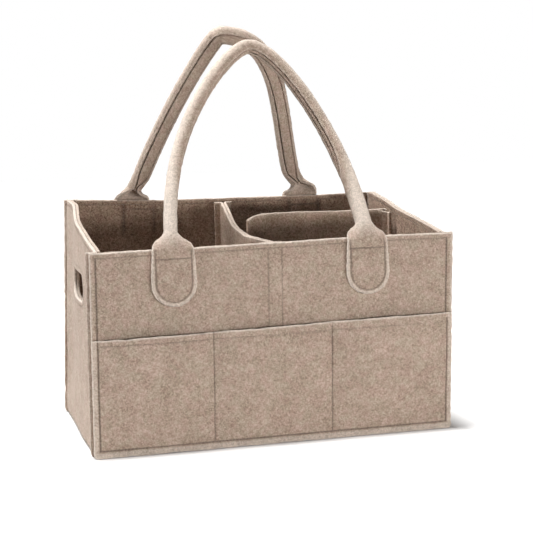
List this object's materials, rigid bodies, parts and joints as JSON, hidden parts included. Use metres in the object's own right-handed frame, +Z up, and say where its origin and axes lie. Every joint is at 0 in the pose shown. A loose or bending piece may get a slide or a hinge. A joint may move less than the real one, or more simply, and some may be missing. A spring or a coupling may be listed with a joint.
{
  "type": "diaper caddy",
  "caption": "Soft felt caddy with a removable T-shaped divider, outside pockets, hand slots and rolled carrying handles.",
  "frame": {"origin": "middle of the footprint, on the surface that the caddy stands on", "axes": "+Z up, +X to the right when the pocket side faces the viewer, +Y from the front to the back"},
  "size_m": [0.3302, 0.2286, 0.379],
  "materials": {
    "felt": "matte felt",
    "lining": "matte felt",
    "loop_tape": "matte looped pile",
    "hook_tape": "matte hooks",
    "core": "matte felt"
  },
  "bodies": {
    "caddy": {"front_panel": "felt", "front_lining": "lining", "back_panel": "felt", "back_lining": "lining", "side_and_base_strip": "felt", "side_and_base_lining": "lining", "front_pocket_panel": "felt", "front_handle_left_tab": "felt", "front_handle_right_tab": "felt", "back_handle_left_tab": "felt", "back_handle_right_tab": "felt", "front_loop_tape": "loop_tape", "back_loop_tape": "loop_tape", "right_side_loop_tape": "loop_tape"},
    "front_handle": {"front_handle_cover": "felt", "front_handle_core": "core"},
    "back_handle": {"back_handle_cover": "felt", "back_handle_core": "core"},
    "divider_insert": {"divider_left_sheet": "felt", "divider_front_right_sheet": "felt", "divider_back_right_sheet": "felt", "front_hook_tape": "hook_tape", "back_hook_tape": "hook_tape"},
    "cross_divider": {"cross_divider_front_sheet": "felt", "cross_divider_back_sheet": "felt", "right_side_hook_tape": "hook_tape"}
  },
  "joints": [
    {"name": "front_handle_fold", "type": "hinge", "parent": "caddy", "child": "front_handle", "pos_m": [0, -0.10692, 0.1793], "axis": [1, 0, 0], "range_deg": [0, 112]},
    {"name": "back_handle_fold", "type": "hinge", "parent": "caddy", "child": "back_handle", "pos_m": [0, 0.11292, 0.2115], "axis": [-1, 0, 0], "range_deg": [0, 120]},
    {"name": "divider_lift", "type": "slide", "parent": "caddy", "child": "divider_insert", "axis": [0, 0, 1], "range_m": [0, 0.12]},
    {"name": "cross_divider_swing", "type": "hinge", "parent": "divider_insert", "child": "cross_divider", "pos_m": [0.0029, 0.0214, 0.1], "axis": [0, 0, 1], "range_deg": [-25, 8]}
  ]
}
